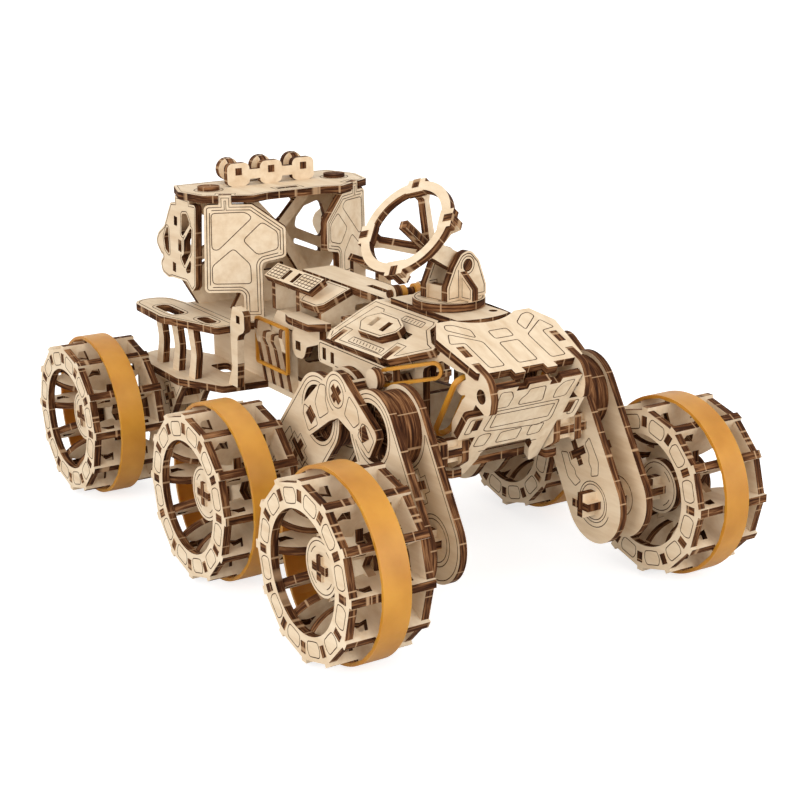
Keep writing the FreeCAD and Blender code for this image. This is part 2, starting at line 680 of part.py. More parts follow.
def mast():
    turn = Rotation(Vector(0, 0, 1), MAST_TURN)
    members = [plate("MastDisc", FLAT, ("Sizes.mast_x", "0", "Sizes.spine_z + 2 * Sizes.ply + Sizes.play"),
                     disc(0, 0, size("mast_disc")))]
    upright = rounded([
        (-12, 0), (7.5, 0), (7.5, 5, 1), (4, 12, 2), (0.5, 16.5, 4), (-4, 17.6, 4), (-8.5, 13, 4), (-12, 4, 2),
    ])
    pin_hole = disc(TILT_BACK, TILT_UP, 2.0 + PLAY)
    for name, face in (("Near", -CHEEK), ("Far", CHEEK + PLY)):
        members.append(plate("Mast" + name, turn * SIDE, mast_point(0, 0, face), upright, [pin_hole]))
    web = rounded([(-CHEEK, 0), (CHEEK, 0), (CHEEK, 5), (-CHEEK, 5)])
    for name, ahead in (("Back", -9.5), ("Front", 3.0)):
        members.append(plate("MastWeb" + name, turn * FRONT, mast_point(ahead, 0), web))
    gusset = rounded([(-CHEEK - PLY - 6.5, 0), (-CHEEK - PLY, 0), (-CHEEK - PLY, 10), (-CHEEK - PLY - 6.5, 4)])
    far = rounded([(CHEEK + PLY + 6.0, 0), (CHEEK + PLY, 0), (CHEEK + PLY, 10), (CHEEK + PLY + 6.0, 4.5)])
    members.append(plate("MastGussetNear", turn * FRONT, mast_point(-2, 0), gusset))
    members.append(plate("MastGussetFar", turn * FRONT, mast_point(-2, 0), far))
    piece("turntable_mast", *members)


def antenna():
    """Ring on four ribs that meet behind it, the feed along its axis, and the tilting arm."""
    ring_radius, ring_hole, depth = 18.9, 15.3, 11.0
    hub_ahead, hub_up = 10.6, 19.2
    aim = Rotation(Vector(0, 0, 1), MAST_TURN) * Rotation(Vector(0, 1, 0), 90 - DISH_LIFT)
    rise = math.radians(DISH_LIFT)
    centre = mast_point(hub_ahead + depth * math.cos(rise), hub_up + depth * math.sin(rise))
    members = [plate("DishRing", aim, centre, disc(0, 0, ring_radius), [disc(0, 0, ring_hole)])]
    for i in range(4):   # lugs and inner flats where the ribs pass
        turn_at = math.radians(20 + 90 * i)
        middle = (ring_radius + ring_hole) / 2 + 0.2
        lug = slot(middle * math.cos(turn_at), middle * math.sin(turn_at), ring_radius - ring_hole + 2.0, 7.5,
                   20 + 90 * i)
        members.append(plate("DishLug%d" % i, aim, centre, lug))
    end, bar = ring_radius + 1.3, 3.2
    rib = rounded([
        (-end, -bar), (-end, PLY + PROUD), (-end + 3.6, PLY + PROUD), (-end + 3.6, 0), (-ring_hole + 1.0, 0),
        (-ring_hole + 1.0, -bar / 2), (-2.5, -depth + 1.8), (-1.6, -depth + 1.8), (-1.6, PLY + 1), (1.6, PLY + 1),
        (1.6, -depth + 1.8), (2.5, -depth + 1.8), (ring_hole - 1.0, -bar / 2), (ring_hole - 1.0, 0),
        (end - 3.6, 0), (end - 3.6, PLY + PROUD), (end, PLY + PROUD), (end, -bar), (ring_hole, -bar - 1.2),
        (3.5, -depth - 2.0), (-3.5, -depth - 2.0), (-ring_hole, -bar - 1.2),
    ])
    for name, turn in (("A", 20), ("B", 110)):
        spin = aim * Rotation(Vector(0, 0, 1), turn) * Rotation(Vector(1, 0, 0), 90)
        shift = spin.multVec(Vector(0, 0, -PLY / 2))
        x, y, z = centre
        members.append(plate("DishRib" + name, spin,
                             ("%s + %.5f" % (x, shift.x), "%s + %.5f" % (y, shift.y), "%s + %.5f" % (z, shift.z)),
                             rib))
    turn = Rotation(Vector(0, 0, 1), MAST_TURN)
    arm = capsule(TILT_BACK, TILT_UP, 3.4, hub_ahead, hub_up, 3.0)
    members.append(plate("DishArm", turn * SIDE, mast_point(0, 0, PLY), arm, (), "2 * Sizes.ply"))
    wide = CHEEK + PLY
    members.append(plate("DishPin", turn * SIDE, mast_point(0, 0, wide),
                         disc(TILT_BACK, TILT_UP, 2.0), (), "%s" % (2 * wide)))
    piece("antenna_dish", *members)


# ---------------------------------------------------------------- side decks with their levers
# x, and how far inside and outside the lever box's side plate its tab in the deck reaches
BRACKETS = ((133.3, 2.5, 0.1), (167.6, 4.0, -1.0))


LEVER_PIN, LEVER_REACH = (172.5, 50.1), 4.9   # pin for a band on the lever box, and its cap's inner face


def decks():
    turn = Rotation(Vector(1, 0, 0), size("deck_fall"))
    # u along the rover, v up the slope from the inner edge
    (rear_x, rear_in, _), (fore_x, fore_in, _) = BRACKETS
    rear_v, fore_v = (deck_down(size("box_face") - tab_in) for tab_in in (rear_in, fore_in))
    top = rounded([
        (130, 0), (171.5, 0), (173.2, -2.2), (173.2, -5.2), (180.9, -10.3), (185, -11.3), (185.5, -13),
        (fore_x + PLY + 0.8, -24), (fore_x + PLY, -24), (fore_x + PLY, -fore_v), (fore_x, -fore_v), (fore_x, -24.6),
        (rear_x + PLY, -25.3), (rear_x + PLY, -rear_v), (rear_x, -rear_v), (rear_x, -25.3), (131, -25.3, 1),
        (127.5, -21.5, 1), (128.5, -8, 1),
    ])
    knob_seat = deck_at(0, PLY)
    pair("side_deck", plate("SideDeck", turn, ("0", "-Sizes.deck_edge", "Sizes.spine_z + Sizes.deck_lift"), top,
                            [slot(165.8, -11.3, 4.4, 3.3)]))

    knob = rounded([
        (141, -15), (141, -11.5, 1), (146, -7, 1), (158, -7, 1), (165, -10, 2), (165, -14, 2), (160, -18.5, 1),
        (146, -19, 1),
    ])
    both("levers", plate("Lever", turn, ("0", "%.5f" % knob_seat[0], "%.5f" % knob_seat[1]), knob,
                         [slot(148.5, -12.5, 3, 5), slot(157, -13, 3, 5)]))

    # side plate of the lever box, notched over the rocker's shaft
    plate_x = (121, 174)
    low, high = 44.0, deck_under(size("box_face") + PLY) - 0.2
    px, pz = size("pivot_x"), size("pivot_z")
    outline = rounded([
        (plate_x[0], low, 2), (plate_x[0], high, 2), (plate_x[1], high), (plate_x[1], low, 1), (px + 6, low, 1),
        (px + 6, pz + 5, 2), (px - 6, pz + 5, 2), (px - 6, low, 2),
    ])
    windows = [slot(125.5, 48, 2.6, 4.6), slot(131.5, 47.6, 2.6, 4.2)]
    box = plate("LeverBox", SIDE, ("0", "-Sizes.box_face", "0"), outline, windows)
    members = [box]
    inner, face = size("frame_half") + PLY, size("box_face")
    for i, (x, tab_in, tab_out) in enumerate(BRACKETS):
        foot = 46.5 if i == 0 else pz + 5.5
        notch, tip = deck_down(face - tab_in), deck_down(face + PLY + tab_out)
        bracket = rounded([(-face, foot), (-inner, foot), (-inner, deck_under(inner)), deck_at(notch),
                           deck_at(notch, FLUSH), deck_at(tip, FLUSH), deck_at(tip), (-face, deck_under(face))])
        members.append(plate("LeverBracket%d" % i, FRONT, ("%s" % x, "0", "0"), bracket))
    pin = plate("LeverPin", SIDE, ("0", "-Sizes.box_face - Sizes.ply", "0"), slot(*LEVER_PIN, 2.2, 2.2), (),
                "%s + Sizes.ply / 2" % LEVER_REACH)
    cap = plate("LeverCap", SIDE, ("0", "-Sizes.box_face - Sizes.ply - %s" % LEVER_REACH, "0"), disc(*LEVER_PIN, 3.9))
    pair("lever_box", *members, pin, cap)


# ---------------------------------------------------------------- console
def console():
    half = 7.0
    spine = plate("ConsoleSpine", FLAT, ("0", "0", "Sizes.spine_z"),
                  rounded([(64, -half), (128, -half), (128, half), (64, half)]), [slot(112, 0, 14, 3)])
    piece("console_spine", spine)
    fall = 22.0
    turn = Rotation(Vector(1, 0, 0), fall)
    panel = rounded([(87, 0), (104, 0), (104, -13, 1), (101, -15.5, 1), (89, -15.5, 1), (87, -13, 1)])
    sink = PLY / math.cos(math.radians(fall))
    both("console_panels",
         plate("ConsolePanel", turn, ("0", "%.4f" % -half, "Sizes.spine_z + Sizes.ply - %.5f" % sink), panel))

    def under(across):
        return size("spine_z") + PLY - sink - (across - half) * math.tan(math.radians(fall))

    floor, edge = 52.0, size("frame_half") + PLY
    tilt, key_y, key_z = 33.0, 15.5, 67.2
    fall_to = (edge - key_y) * math.tan(math.radians(tilt))
    frames = []
    for number, x in enumerate((64.0, 84.0, 101.0), start=1):
        side = [(edge, under(edge)), (half, under(half)), (half, size("spine_z"))]
        if number < 3:   # horns that carry the keypads
            side[:1] = [(edge, key_z - fall_to), (key_y, key_z), (key_y, under(key_y))]
        outline = rounded([(-edge, floor), (edge, floor), *side, *[(-y, z) for y, z in reversed(side)]])
        frames.append(plate("ConsoleFrame%d" % number, FRONT, ("%s" % x, "0", "0"), outline,
                            [slot(0, floor + 5, 12, 4, 0, 1)]))
    node("console_frames", grouped("console_frames", frames))

    keys = rounded([(62, 0), (99.5, 0), (98.5, -7.7), (62, -7.7)])
    both("keypads", plate("Keypad", Rotation(Vector(1, 0, 0), tilt), ("0", "%s" % -key_y, "%s" % key_z), keys,
                          [slot(75.3, -3.9, 2.6, 5.4), slot(82.8, -3.9, 2.6, 5.4)]))


FIN_XS = (60.0, 67.0, 74.0, 81.0)   # rear faces; the end ones carry the band
FIN_HEAD = 47.4                     # top of the end ones


def motor():
    """Fins of the rubber-band motor on the chassis side, and the bracket and shelf ahead of it."""
    inner = size("frame_half") + PLY
    fins = []
    for i, x in enumerate(FIN_XS):
        high = FIN_HEAD if x in (FIN_XS[0], FIN_XS[-1]) else FIN_HEAD - 3.5
        fin = rounded([(-inner, 21), (-inner - 2.5, 20.5, 1), (-inner - 5.4, 38, 9), (-inner - 6.8, high - 3, 2.5),
                       (-inner - 6.4, high, 0.8), (-inner - 3.6, high, 1), (-inner - 1.6, high - 1.4, 2),
                       (-inner, high - 5)])
        fins.append(plate("MotorFin%d" % i, FRONT, ("%s" % x, "0", "0"), fin))
    right = grouped("fins", fins)
    node("motor_fins", grouped("motor_fins", [right, mirrored("fins", right)]))

    x = FIN_XS[-1] + PLY + 1.6
    arm = rounded([(x, 46.5), (x, 37, 5), (x + 9, 37.5, 4), (x + 11.5, 43, 2), (x + 22, 46.5, 1), (x + 22, 52), (x + 4, 52, 2)])
    shelf = rounded([(x + 1, -inner), (x + 1, -inner - 6.5, 1), (x + 6, -inner - 8), (x + 22, -inner - 8, 1),
                     (x + 26, -inner)])
    both("side_shelves", plate("ShelfBracket", SIDE, ("0", "-Sizes.frame_half - Sizes.ply", "0"), arm,
                               [slot(x + 4.6, 42.2, 4, 3.6)]),
         plate("ShelfTop", FLAT, ("0", "0", "52"), shelf))


# ---------------------------------------------------------------- rubber bands
def band(name, start, finish, across, radius, wide=1.8, thick=1.1):
    """Stretched band from start to finish, its two strands apart along across."""
    run = Vector(*finish) - Vector(*start)
    ahead = Vector(run).normalize()
    aside = Vector(*across)
    aside = (aside - ahead * aside.dot(ahead)).normalize()
    face = ahead.cross(aside)
    at = Vector(*start) - face * wide / 2
    return plate(name, Rotation(ahead, aside, face, "XYZ"), ["%.4f" % v for v in at],
                 capsule(0, 0, radius, run.Length, 0, radius),
                 [capsule(0, 0, radius - thick, run.Length, 0, radius - thick)], "%s" % wide)


def rubber_bands():
    inner, thick = size("frame_half") + PLY, 1.1
    rear, front = FIN_XS[0] - 0.5, FIN_XS[-1] + PLY + 0.5
    low, high = 30.0, FIN_HEAD

    def loop(grow):
        return rounded([(rear - grow, low - grow, 0.5 + grow), (rear - grow, high + grow, 0.5 + grow),
                        (front + grow, high + grow, 0.5 + grow), (front + grow, low - grow, 0.5 + grow)])

    right = [
        plate("BandMotor", SIDE, ("0", "%s" % (-inner - 4.3), "0"), loop(thick), [loop(0)], "1.3"),
        band("BandHook", (198.4, -inner + PLY / 2, 51.25), (187.5, -inner + PLY / 2, 33.5), (0, 1, 0), 3.0 + thick),
        band("BandLever", (LEVER_PIN[0], -size("box_face") - PLY - 2.0, LEVER_PIN[1]), (186.5, -inner - 2.3, 54.0),
             (0, 0, 1), 2.2 + thick, 1.6),
    ]
    rings = [plate("BandDrum%d" % i, SIDE, ("%s" % DRUM_X, "%s" % y, "Sizes.spine_z + Sizes.ply + %s" % DRUM_LIFT),
                   disc(0, 0, 2.7), [disc(0, 0, DRUM_PIN + 0.05)], "2.4") for i, y in enumerate((4.4, -2.0))]
    group = grouped("bands", right)
    node("rubber_bands", grouped("rubber_bands", [group, mirrored("bands", group), *rings]))


# ---------------------------------------------------------------- cab
def cab():
    half = 33.5
    piece("cab_floor", plate("CabFloor", FLAT, ("0", "0", "Sizes.cab_floor_z"),
                             rounded([(8, -half), (52, -half), (60, -20), (60, 20), (52, half), (8, half)])))
    low, roof, side = size("cab_floor_z") + PLY, size("roof_z"), size("cab_side")
    outline = rounded([
        (10.5, 89.5, 1.5), (15, 90), (15, roof), (29, roof), (29, 91.2), (34.8, 91.6, 1.5), (31.6, 57, 2),
        (28.3, 54.2, 1.5), (23.5, 57.8, 2), (9, 57.2, 1), (5.5, 56.3, 2), (-1, 57.8, 3), (-2.6, 62, 3), (1.2, 65.2, 1),
        (-1.5, 65.8, 3), (-6.6, 70.5, 3), (-3, 75, 3), (3, 78.5, 1),
    ])
    windows = [
        rounded([(21.1, 86.2, 1.5), (25.7, 86.9, 1.5), (28.9, 83.1, 1), (21.4, 76.9, 0.8), (19.8, 77.4, 0.8)]),
        rounded([(29.0, 81.3, 0.5), (30.3, 81.0, 0.8), (28.5, 71, 1.5), (21.7, 64.2, 0.6), (18.7, 67.4, 0.8),
                 (21.5, 69.2, 0.5), (22.2, 75.1, 1)]),
        rounded([(27.2, 67.4, 0.8), (28.4, 66.8, 0.8), (27.4, 62.4, 1.5), (23.7, 61.2, 1.5), (22.8, 62.9, 0.8)]),
        slot(14.8, 82.2, 3.2, 4, -5), slot(18, 72.2, 3.2, 5, -5), slot(11.5, 62, 3.2, 4, -5),
        rounded([(7, 80.5, 1), (2.2, 73.5, 2), (3.2, 68.5, 1), (7.2, 66.5, 1)]),
    ]
    both("cab_sides", plate("CabSide", SIDE, ("0", "-Sizes.cab_side", "0"), outline, windows))

    back = rounded([(-30, low), (30, low), (side, 57), (side, roof), (-side, roof), (-side, 57)])
    half_window = [(17.5, 73.2, 2), (31, 67, 2), (34, 74, 2), (31, 84.5, 3), (22.5, 82, 2), (18.5, 77.5, 2)]
    low_window = [(17, 68.5, 1), (30.5, 62.5, 1), (30.5, 60.5, 1), (17, 66.0, 1)]
    openings = [rounded([(-14, 87.5, 2), (14, 87.5, 2), (19, 84.5, 2), (6, 74, 2), (-6, 74, 2), (-19, 84.5, 2)])]
    for points in (half_window, low_window):
        openings.append(rounded(points))
        openings.append(rounded([(-y, z, r) for y, z, r in reversed(points)]))
    piece("cab_back", plate("CabBack", FRONT, ("10", "0", "0"), back, openings))
    seat = rounded([(-16, low), (16, low), (18, 60, 2), (12, 68, 2), (-12, 68, 2), (-18, 60, 2)])
    piece("seat_back", plate("SeatBack", FRONT, ("22", "0", "0"), seat, [slot(0, 60, 10, 3, 0, 1)]))

    # X-shaped brace behind the seat, from the floor to the roof
    centre_z, bar = 77.0, 2.2
    up, down = roof - centre_z, centre_z - low
    quarter = [(0, centre_z + 1.4 * bar), (up * 0.95 - 1.4 * bar, roof), (up * 0.95 + 1.4 * bar, roof),
               (1.4 * bar, centre_z), (down * 0.62 + 1.3 * bar, low), (down * 0.62 - 1.3 * bar, low),
               (0, centre_z - 1.9 * bar)]
    brace = rounded([*quarter, *[(-y, z) for y, z in reversed(quarter[1:-1])]])
    piece("cab_braces", plate("CabBrace", FRONT, ("28", "0", "0"), brace))

    turn = Rotation(Vector(0, 0, 1), 180 - size("panel_turn")) * FRONT
    lean = math.radians(180 - size("panel_turn"))
    corner = (55.5, -9.7)

    def panel_at(along, inward=0.0):
        """(x, y) along the outer face of the right front panel and in through it."""
        return (corner[0] - along * math.sin(lean) + inward * math.cos(lean),
                corner[1] + along * math.cos(lean) + inward * math.sin(lean))

    tab_near, tab_far = 21.7, 27.0
    panel = rounded([
        (0, 82.5, 2), (0, 70.3, 2), (10, 68, 2), (10, low), (18, low), (18, 55.5, 2), (34, 55.5, 2), (33, 92, 2),
        (tab_far, 92.2), (tab_far, roof + PLY), (tab_near, roof + PLY), (tab_near, 92.2), (13.5, 92.2, 2),
    ])
    both("cab_panels", plate("CabPanel", turn, ("55.5", "-9.7", "0"), panel))

    # notched over the tabs of the front panels
    half_roof = [(47, -13), panel_at(12.5, -0.8), panel_at(tab_near, -0.8), panel_at(tab_near, PLY + 0.1),
                 panel_at(tab_far, PLY + 0.1), panel_at(tab_far, -0.8), (*panel_at(33.6, -0.8), 1), (24, -42.5, 1),
                 (8, -37)]
    roof_outline = both_edges(half_roof)
    caps = [plate("RoofCap" + side, FLAT, ("27", "%s" % y, "Sizes.roof_z + Sizes.ply"), disc(0, 0, 4.6), (), "1.6")
            for side, y in (("Right", -30), ("Left", 30))]
    piece("cab_roof", plate("CabRoof", FLAT, ("0", "0", "Sizes.roof_z"), roof_outline,
                            [slot(15, 0, 3, 14), slot(40, 0, 3, 10)]), *caps)


def lamps():
    """Bracket across the roof with three lamps, each of two crossed discs."""
    pitch, ball = size("lamp_pitch"), size("lamp_radius")
    base = size("roof_z") + PLY
    eye = base + 4.6
    members = [plate("LampBar", FRONT, ("23", "0", "0"),
                     rounded([(-pitch, eye - 2), (pitch, eye - 2), (pitch, eye + 2), (-pitch, eye + 2)]))]
    for number in (-1, 0, 1):
        y = number * pitch
        members.append(plate("LampLobe%d" % (number + 2), FRONT, ("23", "0", "0"),
                             rounded([(y - 5.2, eye + 5, 2.5), (y - 5.2, base + 1, 2), (y - 3, base), (y + 3, base),
                                      (y + 5.2, base + 1, 2), (y + 5.2, eye + 5, 2.5)])))
        members.append(plate("LampPin%d" % (number + 2), FRONT, ("16", "0", "0"),
                             slot(y, eye + 1.5, 3, 3), (), "3 * Sizes.ply + 1 + Sizes.proud"))
        members.append(plate("LampFront%d" % (number + 2), FRONT, ("14", "0", "0"), disc(y, eye + 1.5, ball)))
        members.append(plate("LampCross%d" % (number + 2), SIDE, ("0", "%s" % (y + PLY / 2), "0"),
                             disc(15.5, eye + 1.5, ball)))
    piece("lamp_bar", *members)


# ---------------------------------------------------------------- build
wheels()
for row in LEGS:
    leg(*row)
rocker()
rear_leg()
chassis()
hood()
rack()
turntable()
mast()
antenna()
decks()
console()
motor()
rubber_bands()
cab()
lamps()

DOC.recompute()

# ---------------------------------------------------------------- checks and files
faulty = [o.Label for o in DOC.Objects if "Invalid" in o.State or "Error" in o.State]
if faulty:
    raise RuntimeError("failed objects: " + ", ".join(faulty))
os.makedirs("parts", exist_ok=True)
for node in NODES:
    if node.Shape.isNull() or not node.Shape.isValid():
        raise RuntimeError("bad shape: " + node.Label)
    node.Shape.exportStep("parts/%s.step" % node.Label)
print(len(NODES), "sub-parts,", sum(len(n.Shape.Solids) for n in NODES), "solids")
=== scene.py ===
import json
import math

import bmesh
import bpy
import numpy as np
from mathutils import Matrix, Vector
from mathutils.bvhtree import BVHTree


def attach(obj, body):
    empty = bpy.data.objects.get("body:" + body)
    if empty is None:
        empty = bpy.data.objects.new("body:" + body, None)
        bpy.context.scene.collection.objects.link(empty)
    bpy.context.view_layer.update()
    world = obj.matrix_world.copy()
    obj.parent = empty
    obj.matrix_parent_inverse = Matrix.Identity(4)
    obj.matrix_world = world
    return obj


# Planetary rover kit in laser-cut plywood: birch faces, charred edges,
# engraved lines and amber rubber bands. Metres, +X forward, +Y left, +Z up.

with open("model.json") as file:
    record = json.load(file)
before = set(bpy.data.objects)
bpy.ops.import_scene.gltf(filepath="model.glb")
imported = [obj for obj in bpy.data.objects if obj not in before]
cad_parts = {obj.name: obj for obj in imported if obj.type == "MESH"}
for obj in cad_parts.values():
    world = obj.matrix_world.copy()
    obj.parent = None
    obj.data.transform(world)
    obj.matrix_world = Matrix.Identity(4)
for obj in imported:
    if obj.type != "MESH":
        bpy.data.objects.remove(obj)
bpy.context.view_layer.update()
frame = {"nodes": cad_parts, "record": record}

MM = 0.001
PLY = 3 * MM
SIDES = ((-1, "right"), (1, "left"))    # sign of y, and the name of the side
NODES = frame["nodes"]
BODY_OF = {
    node: body
    for body, nodes in frame["record"]["behaviour"]["bodies"].items()
    for node in nodes
}


# ---------------------------------------------------------------- node trees
MIX_FACTOR, MIX_FIRST, MIX_SECOND, MIX_COLOUR = 0, 6, 7, 2    # sockets of a colour Mix node
WHITE = (1.0, 1.0, 1.0)


def new_material(name):
    material = bpy.data.materials.new(name)
    material.use_nodes = True
    return material, material.node_tree, material.node_tree.nodes["Principled BSDF"]


def new_group(name, inputs, outputs):
    """Node group that takes vectors and puts out values, with its two end nodes."""
    group = bpy.data.node_groups.new(name, "ShaderNodeTree")
    for label in inputs:
        group.interface.new_socket(label, in_out="INPUT", socket_type="NodeSocketVector")
    for label in outputs:
        group.interface.new_socket(label, in_out="OUTPUT", socket_type="NodeSocketFloat")
    return group, add(group, "NodeGroupInput"), add(group, "NodeGroupOutput")


def add(tree, kind, **values):
    item = tree.nodes.new(kind)
    for name, value in values.items():
        setattr(item, name, value)
    return item


def put(item, **values):
    """Sets a node's sockets by name, with an underscore for each space."""
    for name, value in values.items():
        item.inputs[name.replace("_", " ")].default_value = value


def wire(tree, source, target):
    tree.links.new(source, target)


def feed(tree, value, socket):
    """Gives a socket another node's output, or a plain value."""
    if isinstance(value, bpy.types.NodeSocket):
        wire(tree, value, socket)
    else:
        socket.default_value = value


def object_place(tree):
    return add(tree, "ShaderNodeTexCoord").outputs["Object"]


def noise(tree, place, **values):
    item = add(tree, "ShaderNodeTexNoise")
    put(item, **values)
    wire(tree, place, item.inputs["Vector"])
    return item.outputs["Fac"]


def ramp(tree, fac, *stops):
    """Colour ramp through the stops, each a place and a colour."""
    item = add(tree, "ShaderNodeValToRGB")
    elements = item.color_ramp.elements
    while len(elements) < len(stops):
        elements.new(0.5)
    for element, (place, colour) in zip(elements, stops):
        element.position = place
        element.color = (*colour, 1.0)
    wire(tree, fac, item.inputs["Fac"])
    return item.outputs["Color"]


def mixed(tree, blend, factor, first, second):
    """Mixes two colours; they and the factor may each be a value or a socket."""
    mix = add(tree, "ShaderNodeMix", data_type="RGBA", blend_type=blend)
    feed(tree, factor, mix.inputs[MIX_FACTOR])
    feed(tree, first, mix.inputs[MIX_FIRST])
    feed(tree, second, mix.inputs[MIX_SECOND])
    return mix.outputs[MIX_COLOUR]


def bumped(tree, height, shader, strength, distance):
    bump = add(tree, "ShaderNodeBump")
    put(bump, Strength=strength, Distance=distance)
    wire(tree, height, bump.inputs["Height"])
    wire(tree, bump.outputs["Normal"], shader.inputs["Normal"])


# ---------------------------------------------------------------- materials
def grain_group():
    """Fine wood grain in object space, drawn out along the rover."""
    group, start, end = new_group("wood_grain", ["Vector"], ["Streaks", "Clouds", "Pores"])
    for label, scale, detail, stretch in (
        ("Streaks", 260.0, 5.0, (0.16, 1.0, 1.0)),
        ("Clouds", 38.0, 3.0, (0.6, 1.0, 1.0)),
        ("Pores", 900.0, 2.0, (0.22, 1.0, 1.0)),
    ):
        mapping = add(group, "ShaderNodeMapping")
        put(mapping, Scale=stretch)
        wire(group, start.outputs["Vector"], mapping.inputs["Vector"])
        value = noise(group, mapping.outputs["Vector"], Scale=scale, Detail=detail, Roughness=0.6)
        wire(group, value, end.inputs[label])
    return group


def cut_group():
    """The cut through a plate: streaks along it, and pale nicks straight across it."""
    group, start, end = new_group("charred_cut", ["Vector", "Across"], ["Streaks", "Nicks"])

    def vector(operation, first, second):
        item = add(group, "ShaderNodeVectorMath", operation=operation)
        feed(group, first, item.inputs[0])
        feed(group, second, item.inputs["Scale" if operation == "SCALE" else 1])
        return item.outputs["Value" if operation == "DOT_PRODUCT" else "Vector"]

    place, across = start.outputs["Vector"], start.outputs["Across"]
    depth = vector("SCALE", across, vector("DOT_PRODUCT", place, across))
    flat = vector("SUBTRACT", place, depth)
    # long along the cut, and fine through the plate's thickness
    drawn = vector("ADD", vector("SCALE", flat, 75.0), vector("SCALE", depth, 1150.0))
    streaks = noise(group, drawn, Scale=1.0, Detail=4.0, Roughness=0.6)
    wire(group, streaks, end.inputs["Streaks"])
    cells = add(group, "ShaderNodeTexVoronoi", feature="DISTANCE_TO_EDGE")
    put(cells, Scale=80.0)
    wire(group, flat, cells.inputs["Vector"])
    thin = add(group, "ShaderNodeMapRange")
    put(thin, From_Min=0.008, From_Max=0.020, To_Min=1.0, To_Max=0.0)
    wire(group, cells.outputs["Distance"], thin.inputs["Value"])
    wire(group, thin.outputs["Result"], end.inputs["Nicks"])
    return group


GRAIN = grain_group()
CUT = cut_group()


def grained(tree):
    grain = add(tree, "ShaderNodeGroup", node_tree=GRAIN)
    wire(tree, object_place(tree), grain.inputs["Vector"])
    return grain


def birch_material():
    material, tree, shader = new_material("birch_face")
    grain = grained(tree)
    streaks = ramp(tree, grain.outputs["Streaks"],
                   (0.30, (0.66, 0.495, 0.32)), (0.62, (0.78, 0.635, 0.455)))
    clouds = ramp(tree, grain.outputs["Clouds"], (0.35, (0.94, 0.90, 0.85)), (0.70, WHITE))
    wire(tree, mixed(tree, "MULTIPLY", 0.75, streaks, clouds), shader.inputs["Base Color"])
    put(shader, Roughness=0.62, Specular_IOR_Level=0.35)
    bumped(tree, grain.outputs["Pores"], shader, 0.25, 0.2 * MM)
    return material


EDGES = {}


def edge_material(across):
    """Charred edge of the plates that face one way, made once for each way."""
    if across in EDGES:
        return EDGES[across]
    material, tree, shader = new_material("charred_edge_%d" % (len(EDGES) + 1))
    cut = add(tree, "ShaderNodeGroup", node_tree=CUT)
    put(cut, Across=Vector(across).normalized())
    wire(tree, object_place(tree), cut.inputs["Vector"])
    tone = ramp(tree, cut.outputs["Streaks"], (0.36, (0.030, 0.010, 0.004)),
                (0.50, (0.092, 0.033, 0.012)), (0.68, (0.34, 0.165, 0.070)))
    soot = ramp(tree, grained(tree).outputs["Clouds"],
                (0.36, (0.62, 0.56, 0.50)), (0.60, WHITE))
    charred = mixed(tree, "MULTIPLY", 0.8, tone, soot)
    fade = add(tree, "ShaderNodeMath", operation="MULTIPLY")
    feed(tree, cut.outputs["Nicks"], fade.inputs[0])
    feed(tree, 0.8, fade.inputs[1])
    nicked = mixed(tree, "MIX", fade.outputs["Value"], charred, (0.46, 0.29, 0.16, 1.0))
    wire(tree, nicked, shader.inputs["Base Color"])
    put(shader, Roughness=0.75, Specular_IOR_Level=0.08)
    bumped(tree, cut.outputs["Streaks"], shader, 0.35, 0.3 * MM)
    EDGES[across] = material
    return material


def line_material():
    material, tree, shader = new_material("engraved_line")
    tone = ramp(tree, grained(tree).outputs["Streaks"],
                (0.32, (0.026, 0.010, 0.005)), (0.70, (0.080, 0.034, 0.016)))
    wire(tree, tone, shader.inputs["Base Color"])
    put(shader, Roughness=0.8, Specular_IOR_Level=0.05)
    return material


def rubber_material():
    material, tree, shader = new_material("amber_rubber")
    cloudy = noise(tree, object_place(tree), Scale=60.0, Detail=4.0)
    tone = ramp(tree, cloudy, (0.3, (0.44, 0.175, 0.008)), (0.7, (0.60, 0.275, 0.028)))
    wire(tree, tone, shader.inputs["Base Color"])
    put(shader, Roughness=0.42, Subsurface_Weight=0.25, Subsurface_Scale=0.004,
        Subsurface_Radius=(1.0, 0.5, 0.15))
    bumped(tree, cloudy, shader, 0.2, 0.4 * MM)
    return material


BIRCH = birch_material()
LINE = line_material()
AMBER = rubber_material()


# ---------------------------------------------------------------- plate faces and cut edges
PLANES_PER_MM = 20                  # how finely parallel planes are told apart
DEPTHS = (PLY, 2 * PLY)             # behind a face: one plate, or two that are joined
SKIN = 0.02 * MM                    # a ray starts this far under its face
DEPTH_SLACK = 0.06 * MM             # how far a depth may be off
PLATE_SHARE = 0.3                   # share of a plane that must have such a depth behind it
LEAST_PLANE = 6 * MM ** 2           # smallest plane that counts as a plate face
LEAN_WEIGHT = 3.0                   # how much more a lean counts than a width that is off
FACING_SIDEWAYS = (0.0, 1.0, 0.0)   # for a node with no plate face at all

PLATE_FACES = {}                    # the planes that are plate faces, by node


def plane_key(polygon, vertices):
    n = polygon.normal
    d = n.dot(vertices[polygon.vertices[0]].co) / MM
    return (round(n.x, 2), round(n.y, 2), round(n.z, 2), round(d * PLANES_PER_MM))


